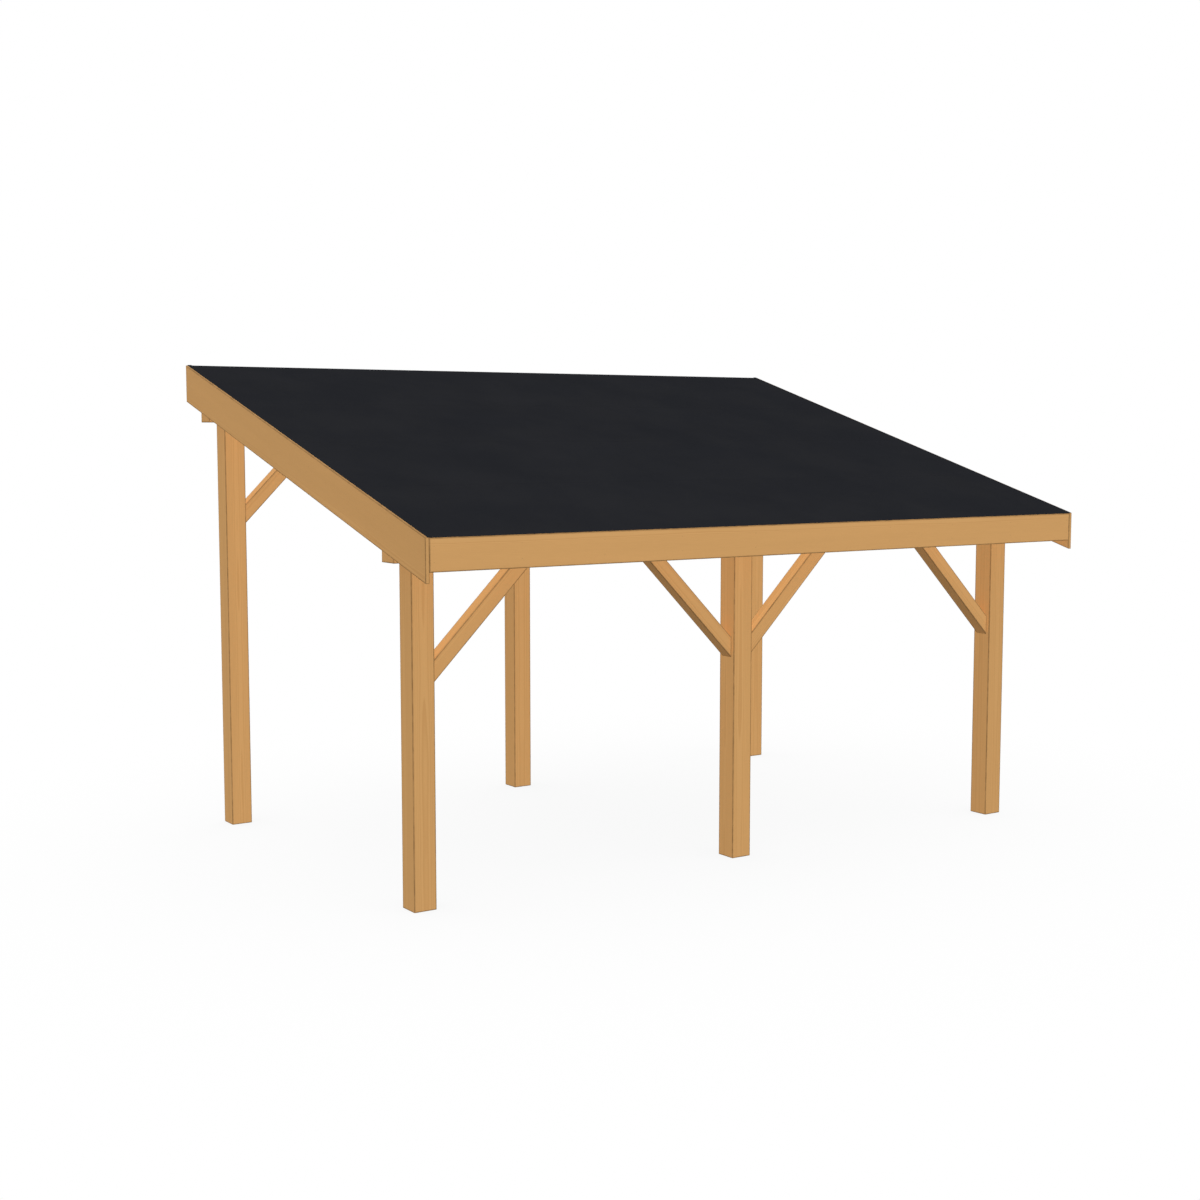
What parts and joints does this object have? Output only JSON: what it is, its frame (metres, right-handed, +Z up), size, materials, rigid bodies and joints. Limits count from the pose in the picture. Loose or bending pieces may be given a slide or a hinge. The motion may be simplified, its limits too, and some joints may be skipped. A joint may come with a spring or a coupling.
{
  "type": "freestanding wooden canopy",
  "caption": "Freestanding lean-to timber canopy: braced square posts carry beams, rafters and a boarded roof with a dark covering, framed by fascia and verge boards, for shelter below.",
  "frame": {"origin": "on the ground, under the middle of the roof's outline", "axes": "+X along the length, to the right seen from the low front; +Y from the low front to the high back; +Z up"},
  "size_m": [5.274, 3.607, 3.3269],
  "materials": {
    "post_timber": "matte",
    "beam_timber": "matte",
    "brace_timber": "matte",
    "rafter_timber": "matte",
    "deck_boards": "matte",
    "edge_boards": "matte",
    "roof_covering": "matte"
  },
  "bodies": {
    "root": {"front_left_post": "post_timber", "front_middle_post": "post_timber", "front_right_post": "post_timber", "back_left_post": "post_timber", "back_middle_post": "post_timber", "back_right_post": "post_timber", "front_beam": "beam_timber", "back_beam": "beam_timber", "front_left_brace": "brace_timber", "front_middle_left_brace": "brace_timber", "front_middle_right_brace": "brace_timber", "front_right_brace": "brace_timber", "back_left_brace": "brace_timber", "back_middle_left_brace": "brace_timber", "back_middle_right_brace": "brace_timber", "back_right_brace": "brace_timber", "rafter_1": "rafter_timber", "rafter_2": "rafter_timber", "rafter_3": "rafter_timber", "rafter_4": "rafter_timber", "rafter_5": "rafter_timber", "rafter_6": "rafter_timber", "rafter_7": "rafter_timber", "rafter_8": "rafter_timber", "rafter_9": "rafter_timber", "rafter_10": "rafter_timber", "roof_deck": "deck_boards", "roof_covering": "roof_covering", "front_fascia": "edge_boards", "back_fascia": "edge_boards", "left_verge": "edge_boards", "right_verge": "edge_boards"}
  },
  "joints": []
}
